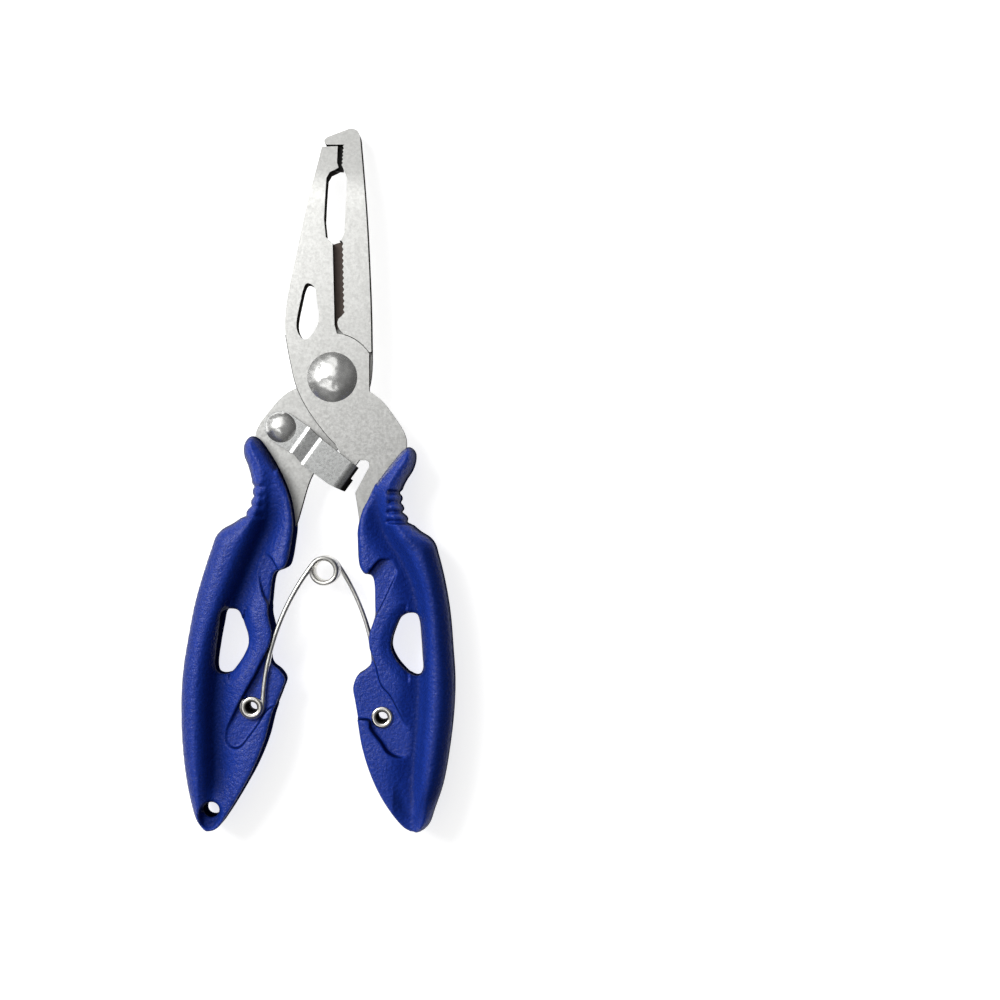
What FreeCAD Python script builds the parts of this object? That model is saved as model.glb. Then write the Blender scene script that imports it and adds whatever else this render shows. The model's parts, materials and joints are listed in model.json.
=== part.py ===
"""Latching fishing pliers, 125 mm: two steel plates on one rivet, moulded grips, return spring, swing latch.

The pliers lie flat, back face down. X is across, Y runs to the jaw tips and Z goes from the back face to
the front face. While the shapes are made the pivot axis is X = Y = 0. The last step moves everything so
that the origin is the middle of the footprint.
"""

import FreeCAD
import Part
import math
import os

from FreeCAD import Vector

# --- Levels, from the back face up (mm) ---
GRIP_T = 11.4                       # thickness of a moulded grip
MID = GRIP_T / 2                    # the plane where the two plates slide on each other
PLATE_T = 1.95                      # one plate where it is a single layer
LAP_GAP = 0.10                      # running gap between the plates
REAR_LO = MID - LAP_GAP / 2 - PLATE_T
REAR_HI = MID - LAP_GAP / 2
FRONT_LO = MID + LAP_GAP / 2
FRONT_HI = MID + LAP_GAP / 2 + PLATE_T
RECESS_D = 3.4                      # depth of the spring recess in each face of a grip
FLOOR_HI = GRIP_T - RECESS_D        # its floor on the front face
FLOOR_LO = RECESS_D                 # and on the back face

# --- Jaws ---
BEND_Y = 30.0                       # the noses bend back from here
BEND_R = 18.0                       # radius of that bend at the back face of the jaws
BEND_DEG = 17.1
DISC_R = 7.7                        # round shoulder of each plate about the pivot
LAP_R = 7.85                        # the seat in the other plate that the shoulder turns in
DISC_FLAT = 6.3                     # the shoulder is cut flat at this distance from the pivot
TOOTH_DEPTH = 0.25
TOOTH_COUNT = 12
NIB_PITCH = 0.7                     # fine teeth in the nose
NIB_DEPTH = 0.22
NIB_COUNT = 6

# --- Rivets ---
PIVOT_R = 1.75
PIVOT_HEAD_R = 4.4
PIVOT_HEAD_H = 1.6
PIVOT_TAIL_R = 2.3
PIVOT_TAIL_H = 0.7
FIT = 0.05                          # radial clearance of a turning fit
STUD = Vector(-8.8, -9.2, 0)        # latch rivet
STUD_R = 1.3
STUD_HEAD_R = 2.7
STUD_HEAD_H = 1.1
STUD_TAIL_R = 1.9
STUD_TAIL_H = 0.6

# --- Latch ---
LATCH_T = 1.0
LATCH_DEG = -33.5                   # direction of the latch from its rivet
LATCH_W = 5.2
LATCH_END = 15.75                   # from the rivet to the outside of the hook
LATCH_HOOK_T = 0.7
LATCH_LOW = FRONT_LO                # underside at the rivet
LATCH_HIGH = FRONT_HI + 0.1         # underside over the front plate
LATCH_BEND_R = 2.0                  # outside radius of the bend into the hook
RAMP_FROM = 4.5
RAMP_TO = 7.4
RAMP_ROUND = 1.4                    # rounding of the crest and of the foot of the ramp
HOOK_FOOT = 5.3                     # lowest point of the hook

# --- Ferrules and spring ---
LEFT_FERRULE = (-11.5, -58.65)      # centre of the left ferrule
RIGHT_FERRULE = (-11.4, -59.55)     # and of the right one, mirrored about X = 0
FERRULE_BORE_R = 1.0
FERRULE_R = 1.35
FLANGE_R = 1.95
FLANGE_T = 0.45
WIRE_R = 0.45
COIL = Vector(0, -34.2, 0)
COIL_R = 2.2                        # centre line of the wire
LEG_Z = FLOOR_HI + 0.06 + WIRE_R    # height of the leg that lies on the front of the left grip
LEG_FROM_DEG = 145.0                # where the left leg leaves the coil
LEG_VIA = (-7.3, -43.2)             # the leg bows out through here
HOOK_R = FERRULE_R + 0.04 + WIRE_R
HOOK_TURN_DEG = 200.0

# --- Grips (left one; the right one is its mirror) ---
GRIP_ROUND = 0.4                    # rounding of the outer rim
THUMB_R = 0.9                       # thumb notches in the outer edge
LANYARD = (-18.1, -77.3)
LANYARD_R = 1.4
LANYARD_DISH_R = 1.95               # shallow step round each mouth
LANYARD_DISH_D = 0.7


def vec(points, z=0.0):
    return [Vector(x, y, z) for x, y in points]


def polyline(points):
    vs = vec(points)
    return [Part.makeLine(a, b) for a, b in zip(vs, vs[1:])]


def curve(points):
    """One smooth edge through the points."""
    spline = Part.BSplineCurve()
    spline.interpolate(vec(points))
    return [spline.toShape()]


def loop(points):
    """A closed smooth edge through the points."""
    spline = Part.BSplineCurve()
    spline.interpolate(vec(points), PeriodicFlag=True)
    return Part.Wire([spline.toShape()])


def prism(wire, low, high):
    face = Part.Face(wire)
    solid = face.extrude(Vector(0, 0, high - low))
    solid.translate(Vector(0, 0, low))
    return solid


def disc(x, y, radius, low, high):
    return Part.makeCylinder(radius, high - low, Vector(x, y, low))


def dome(x, y, z, radius, height, up=True):
    """A spherical cap standing on the plane z, upwards or downwards."""
    ball_r = (radius ** 2 + height ** 2) / (2 * height)
    centre_z = z + (height - ball_r) * (1 if up else -1)
    ball = Part.makeSphere(ball_r, Vector(x, y, centre_z))
    low = z if up else z - height
    return ball.common(disc(x, y, radius + 1, low, low + height))


def mirrored(shape):
    return shape.mirror(Vector(0, 0, 0), Vector(1, 0, 0))


def saw(start, end, count, depth):
    """Triangular teeth along a line, as points; the teeth stand to the left of the direction of travel."""
    a, b = Vector(*start, 0), Vector(*end, 0)
    step = (b - a) / count
    side = Vector(-step.y, step.x, 0).normalize() * depth
    points = []
    for i in range(count):
        points += [a + step * i, a + step * (i + 0.5) + side]
    return [(p.x, p.y) for p in points] + [tuple(end)]


def bent_slab(low, high):
    """The sheet that a jaw is cut from: flat, then bent back towards the nose."""
    turn = math.radians(BEND_DEG)
    centre_z = REAR_LO - BEND_R
    reach = 20.0
    along = Vector(0, math.cos(turn), -math.sin(turn))

    def arc_points(z):
        radius = z - centre_z
        at = [Vector(0, BEND_Y + radius * math.sin(t), centre_z + radius * math.cos(t))
              for t in (0, turn / 2, turn)]
        return at

    def side(z):
        first, middle, last = arc_points(z)
        flat = Part.makeLine(Vector(0, -90, z), first)
        arc = Part.Arc(first, middle, last).toShape()
        tip = last + along * reach
        return [flat, arc, Part.makeLine(last, tip)], tip

    lower, lower_tip = side(low)
    upper, upper_tip = side(high)
    edges = lower + upper
    edges += [Part.makeLine(lower_tip, upper_tip)]
    edges += [Part.makeLine(Vector(0, -90, low), Vector(0, -90, high))]
    wire = Part.Wire(Part.__sortEdges__(edges))
    slab = Part.Face(wire).extrude(Vector(60, 0, 0))
    slab.translate(Vector(-30, 0, 0))
    return slab


# The hidden part of a plate inside its grip, from the shoulder to the ferrule and back (left side).
TANG_OUTER = [(-13.0, -14.0), (-11.2, -19.0), (-10.6, -25.0), (-11.4, -33.0), (-12.2, -40.0),
              (-11.9, -46.5), (-12.4, -52.0), (-14.2, -58.2)]
TANG_END = (-11.6, -62.3)
TANG_INNER = [(-9.0, -58.3), (-9.7, -52.0), (-9.8, -46.5), (-10.2, -41.0), (-9.6, -36.5), (-7.2, -31.0)]


def flip(points):
    return [(-x, y) for x, y in points]


def front_plate_wire():
    """Left jaw, shoulder, neck and the tang of the right grip; starts at the nose."""
    edges = polyline([(-3.85, 41.0), (-1.05, 41.25), (-0.95, 38.2), (-0.6, 37.2), (-1.2, 36.8),
                      (-2.1, 36.3), (-2.6, 35.2), (-2.65, 27.7), (-2.2, 24.6), (-0.95, 23.6),
                      (0.0, 9.2), (0.5, DISC_R)])
    flat_y = math.sqrt(DISC_R ** 2 - DISC_FLAT ** 2)
    middle = math.radians(60)
    shoulder = Part.Arc(Vector(0.5, DISC_R, 0),
                        Vector(DISC_R * math.cos(middle), DISC_R * math.sin(middle), 0),
                        Vector(DISC_FLAT, flat_y, 0))
    edges.append(shoulder.toShape())
    edges += polyline([(DISC_FLAT, flat_y), (6.6, -2.2)])
    edges += curve([(6.6, -2.2), (8.7, -3.6), (11.3, -6.6), (13.6, -11.0)] + flip(TANG_OUTER))
    edges.append(Part.Arc(*vec([flip(TANG_OUTER)[-1], flip([TANG_END])[0], flip(TANG_INNER)[0]])).toShape())
    edges += curve(flip(TANG_INNER) + [(5.8, -25.0), (4.9, -20.2)])
    edges += polyline([(4.9, -20.2), (7.2, -15.5), (7.1, -14.8), (6.5, -14.35), (5.4, -14.4),
                       (3.95, -16.55), (1.1, -11.9)])
    edges += curve([(1.1, -11.9), (-0.8, -10.0), (-4.2, -5.7), (-6.25, -1.9), (-7.6, 2.8), (-8.55, 7.0),
                    (-8.75, 10.0), (-8.35, 15.0), (-7.5, 20.0), (-6.0, 29.0), (-4.85, 35.0), (-3.85, 41.0)])
    return Part.Wire(Part.__sortEdges__(edges))


def rear_plate_wire():
    """Right jaw, shoulder, neck and the tang of the left grip; starts at the hook of the nose."""
    nibs = saw((0.1, 41.6), (0.1, 41.6 - NIB_COUNT * NIB_PITCH), NIB_COUNT, -NIB_DEPTH)
    edges = curve([(-3.0, 41.45), (-3.5, 42.1), (-2.9, 42.95)])
    edges += polyline([(-2.9, 42.95), (0.9, 44.7)])
    edges += polyline([(-3.0, 41.45)] + nibs + [(0.6, 36.3), (1.05, 35.2), (1.05, 25.5), (0.5, 24.2),
                      (-1.2, 23.6), (-0.25, 9.1), (-0.25, DISC_R)])
    flat_y = math.sqrt(DISC_R ** 2 - DISC_FLAT ** 2)
    middle = math.radians(120)
    shoulder = Part.Arc(Vector(-0.25, DISC_R, 0),
                        Vector(DISC_R * math.cos(middle), DISC_R * math.sin(middle), 0),
                        Vector(-DISC_FLAT, flat_y, 0))
    edges.append(shoulder.toShape())
    edges += polyline([(-DISC_FLAT, flat_y), (-6.5, -2.1)])
    edges += curve([(-6.5, -2.1), (-8.7, -3.5), (-11.2, -6.5), (-13.4, -10.6)] + TANG_OUTER)
    edges.append(Part.Arc(*vec([TANG_OUTER[-1], TANG_END, TANG_INNER[0]])).toShape())
    edges += curve(TANG_INNER + [(-5.2, -25.4), (-4.0, -20.3), (-3.2, -17.8), (-1.6, -15.2),
                                 (1.4, -12.4), (4.4, -6.5), (6.3, -1.9), (6.75, 1.5), (6.65, 5.5),
                                 (6.25, 12.2), (5.6, 20.1), (4.7, 29.5), (3.5, 38.5), (2.8, 43.2)])
    edges += curve([(2.8, 43.2), (2.0, 44.5), (0.9, 44.7)])
    return Part.Wire(Part.__sortEdges__(edges))


def teardrop():
    """The cutting eye in the left jaw."""
    return loop([(-4.9, 16.35), (-3.9, 15.8), (-3.3, 13.4), (-2.8, 10.6), (-3.5, 8.0), (-5.2, 6.45),
                 (-6.4, 7.6), (-6.7, 9.7), (-6.1, 13.6), (-5.7, 15.5)])


def front_plate():
    body = prism(front_plate_wire(), -3, 14).common(bent_slab(REAR_LO, FRONT_HI))
    low, high = REAR_LO - 1, FRONT_LO
    behind = prism(Part.makePolygon(vec([(-2.4, 25.0), (3.0, 25.0), (3.0, 6.0), (-1.6, 6.0), (-1.6, 9.2),
                                         (-2.4, 25.0)])), low, high)
    below = Part.makeBox(60, 80, high - low, Vector(-30, 2.4 - 80, low))
    body = body.cut([behind, below, disc(0, 0, LAP_R, low, high)])
    return body.cut([prism(teardrop(), -1, 13), disc(0, 0, PIVOT_R + FIT, 0, 12)])


def rear_plate():
    body = prism(rear_plate_wire(), -3, 14).common(bent_slab(REAR_LO, FRONT_HI))
    low, high = REAR_HI, FRONT_HI + 1
    wall = saw((0.95, 23.6), (1.7, 11.5), TOOTH_COUNT, -TOOTH_DEPTH)
    beside = [(-4.0, 24.1), (0.6, 24.1)] + wall + [(1.15, 10.8), (0.65, 10.3), (0.5, 9.7), (0.6, 9.0),
                                                    (0.95, 8.4), (2.0, 7.4), (-4.0, 7.4), (-4.0, 24.1)]
    gap = prism(Part.makePolygon(vec(beside)), low, high)
    below = Part.makeBox(60, 80, high - low, Vector(-30, 4.7 - 80, low))
    body = body.cut([gap, below, disc(0, 0, LAP_R, low, high)])
    return body.cut([disc(0, 0, PIVOT_R, 0, 12), disc(STUD.x, STUD.y, STUD_R, 0, 12)])


def pivot_rivet():
    shank = disc(0, 0, PIVOT_R, REAR_LO, FRONT_HI + LAP_GAP / 2)
    head = dome(0, 0, FRONT_HI + LAP_GAP / 2, PIVOT_HEAD_R, PIVOT_HEAD_H)
    return shank.fuse([head, dome(0, 0, REAR_LO, PIVOT_TAIL_R, PIVOT_TAIL_H, up=False)])


def latch_rivet():
    top = LATCH_LOW + LATCH_T + FIT
    shank = disc(STUD.x, STUD.y, STUD_R, REAR_LO, top)
    head = dome(STUD.x, STUD.y, top, STUD_HEAD_R, STUD_HEAD_H)
    return shank.fuse([head, dome(STUD.x, STUD.y, REAR_LO, STUD_TAIL_R, STUD_TAIL_H, up=False)])


def latch_section():
    """Side view of the latch: flat, ramp, flat and the hook bent down, as one thick line."""
    top_low, top_high = LATCH_LOW + LATCH_T, LATCH_HIGH + LATCH_T
    bend_u, bend_z = LATCH_END - LATCH_BEND_R, top_high - LATCH_BEND_R
    inner_r = LATCH_BEND_R - LATCH_HOOK_T

    def at(u, z):
        return Vector(u, 0, z)

    def bend(radius):
        diagonal = radius * math.sqrt(0.5)
        return Part.Arc(at(bend_u, bend_z + radius), at(bend_u + diagonal, bend_z + diagonal),
                        at(bend_u + radius, bend_z)).toShape()

    under = [at(-4, LATCH_LOW), at(RAMP_FROM, LATCH_LOW), at(RAMP_TO, LATCH_HIGH),
             at(bend_u - 0.5, LATCH_HIGH), at(bend_u, bend_z + inner_r)]
    over = [at(-4, top_low), at(RAMP_FROM - 0.4, top_low), at(RAMP_TO - 0.4, top_high), at(bend_u, top_high)]
    foot = [at(bend_u + inner_r, bend_z), at(bend_u + inner_r, HOOK_FOOT), at(LATCH_END, HOOK_FOOT),
            at(LATCH_END, bend_z)]
    edges = [Part.makeLine(a, b) for run in (under, over, foot) for a, b in zip(run, run[1:])]
    edges += [Part.makeLine(under[0], over[0]), bend(inner_r), bend(LATCH_BEND_R)]
    return Part.Wire(Part.__sortEdges__(edges))


def latch_lever():
    """A pressed sheet: flat at the rivet, a ramp up, flat over the front plate and a hook bent down."""
    half = LATCH_W / 2
    sheet = Part.Face(latch_section()).extrude(Vector(0, 20, 0))
    sheet.translate(Vector(0, -10, 0))
    turns = [e for e in sheet.Edges if e.BoundBox.YLength > 19
             and min(abs(e.BoundBox.XMin - u) for u in (RAMP_FROM - 0.4, RAMP_TO - 0.4)) < 0.01]
    sheet = sheet.makeFillet(RAMP_ROUND, turns)
    body_wire = Part.makePolygon(vec([(0, -2.9), (4.5, -2.5), (7.6, -3.1), (13.0, -3.1),
                                      (LATCH_END, -half), (LATCH_END, half - 0.3), (7.0, half),
                                      (4.5, 2.9), (0, 2.9), (0, -2.9)]))
    plan = prism(body_wire, 0, 12).fuse(disc(0, 0, 2.9, 0, 12))
    lever = sheet.common(plan).removeSplitter()
    spare = Part.makeBox(4, 20, LATCH_HIGH, Vector(LATCH_END - 4 + 1, -0.15, 0))
    lever = lever.cut([spare, disc(0, 0, STUD_R + FIT, 0, 12)])
    lever.rotate(Vector(0, 0, 0), Vector(0, 0, 1), LATCH_DEG)
    lever.translate(STUD)
    return lever


GRIP_TOP = [(-12.6, -11.7), (-13.7, -11.2), (-14.7, -11.7), (-15.15, -13.2), (-14.8, -15.2),
            (-13.7, -17.6), (-13.1, -19.5), (-13.1, -21.6), (-14.0, -24.1), (-15.6, -25.9),
            (-18.3, -27.6), (-19.4, -29.1), (-20.2, -31.5), (-21.5, -35.8), (-22.6, -40.4),
            (-23.4, -45.3), (-23.9, -50.5), (-24.2, -56.0), (-24.0, -61.5), (-23.4, -67.0),
            (-22.6, -71.3)]
LEFT_TAIL = [(-21.6, -76.0), (-20.7, -79.4), (-19.8, -80.7), (-18.6, -81.1), (-17.2, -80.4),
             (-15.4, -78.2)]
RIGHT_TAIL = [(-21.4, -76.0), (-20.4, -78.5), (-19.4, -79.5), (-17.9, -79.7), (-16.4, -79.2),
              (-15.2, -78.0)]
GRIP_INNER = [(-12.7, -74.5), (-10.55, -70.7), (-9.0, -66.7), (-7.9, -62.3), (-7.0, -58.2),
              (-6.15, -55.0), (-6.3, -53.3), (-8.0, -51.6), (-8.8, -50.0), (-8.6, -46.0),
              (-9.4, -41.9), (-9.05, -38.0), (-8.7, -34.9), (-7.4, -34.4), (-6.3, -32.6),
              (-5.7, -28.5), (-5.85, -24.6), (-7.1, -20.7), (-9.1, -17.0), (-11.2, -13.7)]
THUMB_NOTCHES = [(-13.8, -19.7), (-13.8, -21.5), (-14.4, -23.3), (-15.5, -25.0)]
LEFT_HOLE = [(-17.8, -42.4), (-16.2, -41.5), (-14.75, -41.9), (-13.6, -44.2), (-12.75, -46.8),
             (-13.25, -49.3), (-15.0, -52.1), (-16.9, -53.2), (-18.4, -52.8), (-18.6, -50.5),
             (-18.3, -46.0)]
RIGHT_HOLE = [(-17.1, -41.7), (-15.9, -41.0), (-14.1, -41.8), (-12.95, -44.2), (-12.5, -46.6),
              (-13.6, -49.35), (-15.3, -51.2), (-17.3, -52.0), (-18.2, -50.7), (-18.0, -47.5),
              (-17.5, -44.0)]
LEFT_RECESS = [(-8.0, -45.2), (-9.4, -47.3), (-10.2, -50.6), (-11.4, -53.2), (-13.7, -56.7),
               (-15.3, -61.0), (-16.5, -63.4), (-16.3, -65.3), (-14.7, -66.5), (-13.3, -66.0),
               (-10.6, -62.6), (-9.0, -60.1), (-8.2, -58.8), (-6.4, -57.3), (-3.0, -54.0),
               (-4.5, -45.4)]
RIGHT_RECESS = [(-8.0, -45.2), (-9.4, -47.3), (-10.3, -51.3), (-11.5, -53.6), (-13.3, -56.2),
                (-15.3, -58.7), (-16.8, -61.9), (-16.9, -64.6), (-15.5, -66.4), (-13.6, -66.5),
                (-11.7, -64.5), (-10.0, -62.0), (-8.5, -60.2), (-6.6, -60.0), (-3.0, -56.0),
                (-4.5, -45.4)]
UPPER_RECESS = [(-10.6, -20.0), (-11.2, -23.5), (-12.2, -26.6), (-14.4, -29.8), (-16.6, -33.0),
                (-17.8, -37.0), (-17.4, -40.2), (-14.6, -40.8), (-11.6, -40.4), (-9.6, -39.0),
                (-10.0, -34.8), (-9.9, -31.4), (-9.9, -27.6), (-10.2, -23.4)]
OUTER_RECESS = [(-19.4, -42.6), (-19.8, -47.0), (-20.1, -53.6), (-20.2, -60.0), (-19.9, -66.5),
                (-19.1, -73.0), (-18.4, -74.6), (-17.3, -72.6), (-17.2, -66.0), (-17.6, -60.0),
                (-17.2, -56.0), (-18.2, -54.2), (-19.0, -50.0), (-18.9, -45.0)]
UPPER_D = 1.7                       # depth of the shallow recesses


def grip(plate, tail, hole, recess, ferrule_at, lanyard):
    """A grip round its tang, as a left one."""
    body = prism(loop(GRIP_TOP + tail + GRIP_INNER), 0, GRIP_T)
    rims = [e for e in body.Edges if e.BoundBox.ZLength < 0.01]
    body = body.makeFillet(GRIP_ROUND, rims)
    cuts = [prism(loop(hole), -1, GRIP_T + 1)]
    cuts += [disc(x, y, THUMB_R, -1, GRIP_T + 1) for x, y in THUMB_NOTCHES]
    for points, depth in ((recess, RECESS_D), (UPPER_RECESS, UPPER_D), (OUTER_RECESS, UPPER_D)):
        cuts += [prism(loop(points), GRIP_T - depth, GRIP_T + 1), prism(loop(points), -1, depth)]
    cuts.append(disc(*ferrule_at, FERRULE_R, -1, GRIP_T + 1))
    if lanyard:
        cuts.append(disc(*LANYARD, LANYARD_R, -1, GRIP_T + 1))
        cuts.append(disc(*LANYARD, LANYARD_DISH_R, GRIP_T - LANYARD_DISH_D, GRIP_T + 1))
        cuts.append(disc(*LANYARD, LANYARD_DISH_R, -1, LANYARD_DISH_D))
    body = body.cut(cuts)
    return body.cut(plate)


def ferrule(at, front_z, back_z):
    """A hollow rivet on the left side; its flanges are outside the two heights."""
    x, y = at
    tube = disc(x, y, FERRULE_R, back_z - FLANGE_T, front_z + FLANGE_T)
    front = disc(x, y, FLANGE_R, front_z, front_z + FLANGE_T)
    back = disc(x, y, FLANGE_R, back_z - FLANGE_T, back_z)
    body = tube.fuse([front, back])
    return body.cut(disc(x, y, FERRULE_BORE_R, -1, GRIP_T + 1)).removeSplitter()


def spring_arm(ferrule_at):
    """Left leg with its hook round the ferrule, and the front half of the coil as a plain ring."""
    angle = math.radians(LEG_FROM_DEG)
    start = COIL + Vector(math.cos(angle), math.sin(angle), 0) * COIL_R
    centre = Vector(*ferrule_at, 0)
    end = centre + Vector(HOOK_R, 0, 0)
    leg = Part.Arc(start, Vector(*LEG_VIA, 0), end).toShape()

    def on_hook(turned):
        at = math.radians(-turned)
        return centre + Vector(math.cos(at), math.sin(at), 0) * HOOK_R

    hook = Part.Arc(end, on_hook(HOOK_TURN_DEG / 2), on_hook(HOOK_TURN_DEG)).toShape()
    path = Part.Wire([leg, hook])
    tangent = leg.tangentAt(leg.FirstParameter)
    section = Part.Wire([Part.makeCircle(WIRE_R, start, tangent)])
    wire = path.makePipeShell([section], True, False)
    wire.translate(Vector(0, 0, LEG_Z))
    low, high = MID + 0.02, LEG_Z + WIRE_R
    ring = disc(COIL.x, COIL.y, COIL_R + WIRE_R, low, high)
    ring = ring.cut(disc(COIL.x, COIL.y, COIL_R - WIRE_R, low - 1, high + 1))
    return wire.fuse(ring).removeSplitter()


def right_spring_arm():
    """The same arm turned over: its leg lies on the back of the right grip."""
    arm = spring_arm(RIGHT_FERRULE)
    arm.rotate(Vector(0, 0, MID), Vector(0, 1, 0), 180)
    return arm


def build():
    rear, front = rear_plate(), front_plate()
    hook_top = LEG_Z + WIRE_R + 0.05
    left_ferrule = ferrule(LEFT_FERRULE, hook_top, FLOOR_LO)
    right_ferrule = mirrored(ferrule(RIGHT_FERRULE, FLOOR_HI, GRIP_T - hook_top))
    left = grip(rear, LEFT_TAIL, LEFT_HOLE, LEFT_RECESS, LEFT_FERRULE, True)
    right = mirrored(grip(mirrored(front), RIGHT_TAIL, RIGHT_HOLE, RIGHT_RECESS, RIGHT_FERRULE, False))
    left_hole = disc(*LEFT_FERRULE, FERRULE_R, 0, GRIP_T)
    right_hole = mirrored(disc(*RIGHT_FERRULE, FERRULE_R, 0, GRIP_T))
    return {
        "rear_plate": rear.cut(left_hole),
        "front_plate": front.cut(right_hole),
        "left_grip": left,
        "right_grip": right,
        "pivot_rivet": pivot_rivet(),
        "latch_lever": latch_lever(),
        "latch_rivet": latch_rivet(),
        "left_ferrule": left_ferrule,
        "right_ferrule": right_ferrule,
        "spring_left_arm": spring_arm(LEFT_FERRULE),
        "spring_right_arm": right_spring_arm(),
    }


def main():
    parts = build()
    box = FreeCAD.BoundBox()
    for shape in parts.values():
        box.add(shape.optimalBoundingBox(False, False))
    shift = Vector(-box.Center.x, -box.Center.y, -box.ZMin)
    os.makedirs("parts", exist_ok=True)
    for name, shape in parts.items():
        shape.translate(shift)
        print(f"{name:18} solids {len(shape.Solids)} valid {shape.isValid()} {shape.Volume:9.1f} mm3")
        shape.exportStep(f"parts/{name}.step")
    print(f"pivot axis at X {shift.x:.3f} Y {shift.y:.3f}, lowest point was {box.ZMin:.3f}")
    print(f"size {box.XLength:.2f} x {box.YLength:.2f} x {box.ZLength:.2f} mm")


main()
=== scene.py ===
"""Studio picture of latching fishing pliers: finishes, moulded grips, spring, camera and light."""

import itertools
import json
import math

import bmesh
import bpy
import numpy as np
from mathutils import Matrix, Vector


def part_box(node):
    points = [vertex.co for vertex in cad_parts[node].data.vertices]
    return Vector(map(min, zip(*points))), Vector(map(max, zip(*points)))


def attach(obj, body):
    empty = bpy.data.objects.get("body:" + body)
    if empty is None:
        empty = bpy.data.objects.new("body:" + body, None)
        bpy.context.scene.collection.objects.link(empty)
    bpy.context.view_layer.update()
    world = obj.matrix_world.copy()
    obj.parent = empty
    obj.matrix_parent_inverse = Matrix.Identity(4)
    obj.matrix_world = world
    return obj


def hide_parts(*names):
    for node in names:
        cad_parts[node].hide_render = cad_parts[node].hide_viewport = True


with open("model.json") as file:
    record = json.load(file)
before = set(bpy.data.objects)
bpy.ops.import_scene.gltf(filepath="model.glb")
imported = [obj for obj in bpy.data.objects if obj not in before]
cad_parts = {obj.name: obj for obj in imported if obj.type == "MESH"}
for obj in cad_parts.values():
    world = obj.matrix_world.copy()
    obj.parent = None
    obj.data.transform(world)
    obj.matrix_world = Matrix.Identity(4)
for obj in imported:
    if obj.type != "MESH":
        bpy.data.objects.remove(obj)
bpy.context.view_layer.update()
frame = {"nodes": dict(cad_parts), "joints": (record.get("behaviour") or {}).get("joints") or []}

MM = 0.001
JOINTS = {joint["name"]: joint for joint in frame["joints"]}
PIVOT = Vector(JOINTS["jaw_open"]["pos_m"]) / MM      # everything below is in mm from here
COIL = Vector(JOINTS["spring_right_swing"]["pos_m"]) / MM - PIVOT
LEFT_FERRULE = Vector(JOINTS["spring_left_swing"]["pos_m"]) / MM - PIVOT


def middle(node):
    """Centre of a CAD node's box, in mm from the pivot."""
    low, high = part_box(node)
    return (low + high) / MM / 2 - PIVOT


def mirrored(point):
    """A point of the right half as it lies on the left, where both grips are drawn."""
    return Vector((-point.x, point.y, 0))


RIGHT_FERRULE = mirrored(middle("right_ferrule"))
GRIP_HALF = (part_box("left_grip")[1].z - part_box("left_grip")[0].z) / MM / 2
VOXEL = 0.25                    # cell of the grid that the grips are meshed on
RECESS_LEVEL = 2.3              # spring recess, above the middle plane
WIRE_R = 0.45
COIL_R = 2.2
COIL_TURNS = 5
LEG_LEVEL = RECESS_LEVEL + 0.06 + WIRE_R


# ---------------------------------------------------------------- curves and fields (mm)

def smooth_path(points, closed=False, step=0.25):
    """Points along a centripetal Catmull-Rom curve through the given points."""
    p = np.array(points, float)
    if closed:
        p = np.vstack([p[-1:], p, p[:2]])
    else:
        p = np.vstack([2 * p[:1] - p[1:2], p, 2 * p[-1:] - p[-2:-1]])
    out = []
    for a, b, c, d in zip(p[:-3], p[1:-2], p[2:-1], p[3:]):
        knots = np.cumsum([0] + [math.sqrt(math.dist(u, v)) for u, v in ((a, b), (b, c), (c, d))])
        count = max(2, int(math.dist(b, c) / step))
        t = np.linspace(knots[1], knots[2], count, endpoint=False)[:, None]

        def mix(u, v, k0, k1):
            return u + (v - u) * (t - k0) / (k1 - k0)

        ab, bc, cd = mix(a, b, *knots[0:2]), mix(b, c, *knots[1:3]), mix(c, d, *knots[2:4])
        abc, bcd = mix(ab, bc, knots[0], knots[2]), mix(bc, cd, knots[1], knots[3])
        out.append(mix(abc, bcd, knots[1], knots[2]))
    return np.vstack(out) if closed else np.vstack(out + [p[-2:-1]])


def nearest(path, x, y, closed):
    """Distance to a path and the side of it (positive to the right of travel), at each grid point."""
    ends = np.roll(path, -1, axis=0) if closed else path[1:]
    starts = path if closed else path[:-1]
    best = np.full(x.shape, 1e9)
    side = np.zeros(x.shape)
    for (ax, ay), (bx, by) in zip(starts, ends):
        ux, uy = bx - ax, by - ay
        t = np.clip(((x - ax) * ux + (y - ay) * uy) / (ux * ux + uy * uy + 1e-12), 0, 1)
        dx, dy = x - ax - t * ux, y - ay - t * uy
        d = dx * dx + dy * dy
        closer = d < best
        best = np.where(closer, d, best)
        side = np.where(closer, ux * (y - ay) - uy * (x - ax), side)
    return np.sqrt(best), -np.sign(side)


def inside_field(points, x, y):
    """Signed distance to a closed smooth outline, negative inside."""
    path = smooth_path(points, closed=True)
    distance, _ = nearest(path, x, y, closed=True)
    odd = np.zeros(x.shape, bool)
    for (ax, ay), (bx, by) in zip(path, np.roll(path, -1, axis=0)):
        if ay != by:
            odd ^= ((ay > y) != (by > y)) & (x < (bx - ax) * (y - ay) / (by - ay) + ax)
    return np.where(odd, -distance, distance)


def ease(t):
    """Rises smoothly from 0 at 0 to 1 at 1, and is level outside."""
    t = np.clip(t, 0, 1)
    return t * t * (3 - 2 * t)


def above(value, start, width):
    """0 up to the start, and 1 from a width above it."""
    return ease((value - start) / width)


def below(value, start, width):
    """0 down to the start, and 1 from a width below it."""
    return ease((start - value) / width)


def toward(height, level, weight):
    """The height, brought to the level where the weight is 1."""
    return height + (level - height) * weight


def swell(t):
    """Rises from 0 to 1 with no visible end: about 0.9 at 1.5."""
    return 1 - np.exp(-t * t)


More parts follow.
